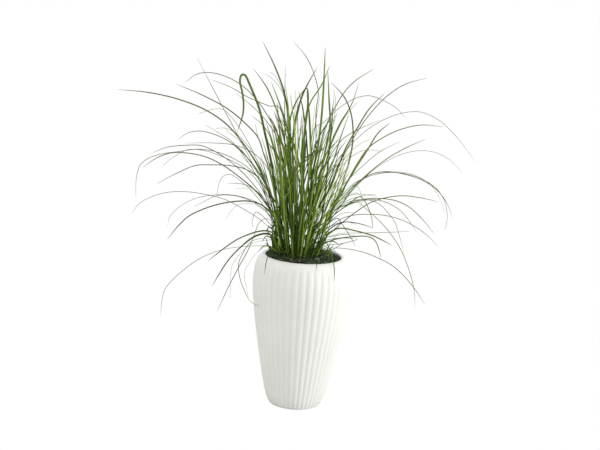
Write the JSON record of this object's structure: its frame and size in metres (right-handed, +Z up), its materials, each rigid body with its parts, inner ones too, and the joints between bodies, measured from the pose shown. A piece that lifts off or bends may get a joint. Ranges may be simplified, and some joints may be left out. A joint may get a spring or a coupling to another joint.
{
  "type": "potted ornamental grass",
  "caption": "Tall tapered pot with upright convex ribs and a smooth rolled lip, filled with soil and holding a fountain-shaped clump of long arching grass blades.",
  "frame": {"origin": "centre of the pot's flat underside", "axes": "+Z up along the pot's axis, -Y towards the viewer of the picture, +X to the viewer's right"},
  "size_m": [0.8957, 0.5954, 0.9436],
  "materials": {
    "glaze": "satin",
    "potting_soil": "matte",
    "leaf": "satin"
  },
  "bodies": {
    "root": {"pot": "glaze", "soil": "potting_soil", "tiller_01": "leaf", "tiller_02": "leaf", "tiller_03": "leaf", "tiller_04": "leaf", "tiller_05": "leaf", "tiller_06": "leaf", "tiller_07": "leaf", "tiller_08": "leaf", "tiller_09": "leaf", "tiller_10": "leaf", "tiller_11": "leaf", "tiller_12": "leaf", "tiller_13": "leaf", "tiller_14": "leaf", "tiller_15": "leaf", "tiller_16": "leaf", "tiller_17": "leaf", "tiller_18": "leaf", "tiller_19": "leaf", "tiller_20": "leaf", "tiller_21": "leaf", "tiller_22": "leaf", "tiller_23": "leaf", "tiller_24": "leaf", "tiller_25": "leaf", "tiller_26": "leaf", "tiller_27": "leaf", "tiller_28": "leaf", "tiller_29": "leaf", "tiller_30": "leaf", "tiller_31": "leaf", "tiller_32": "leaf", "tiller_33": "leaf", "tiller_34": "leaf", "tiller_35": "leaf", "tiller_36": "leaf", "tiller_37": "leaf", "tiller_38": "leaf", "tiller_39": "leaf", "tiller_40": "leaf", "tiller_41": "leaf", "tiller_42": "leaf", "tiller_43": "leaf", "tiller_44": "leaf", "tiller_45": "leaf", "tiller_46": "leaf", "tiller_47": "leaf", "tiller_48": "leaf", "tiller_49": "leaf", "tiller_50": "leaf", "tiller_51": "leaf", "tiller_52": "leaf", "tiller_53": "leaf", "tiller_54": "leaf", "tiller_55": "leaf", "tiller_56": "leaf", "tiller_57": "leaf", "tiller_58": "leaf"}
  },
  "joints": []
}
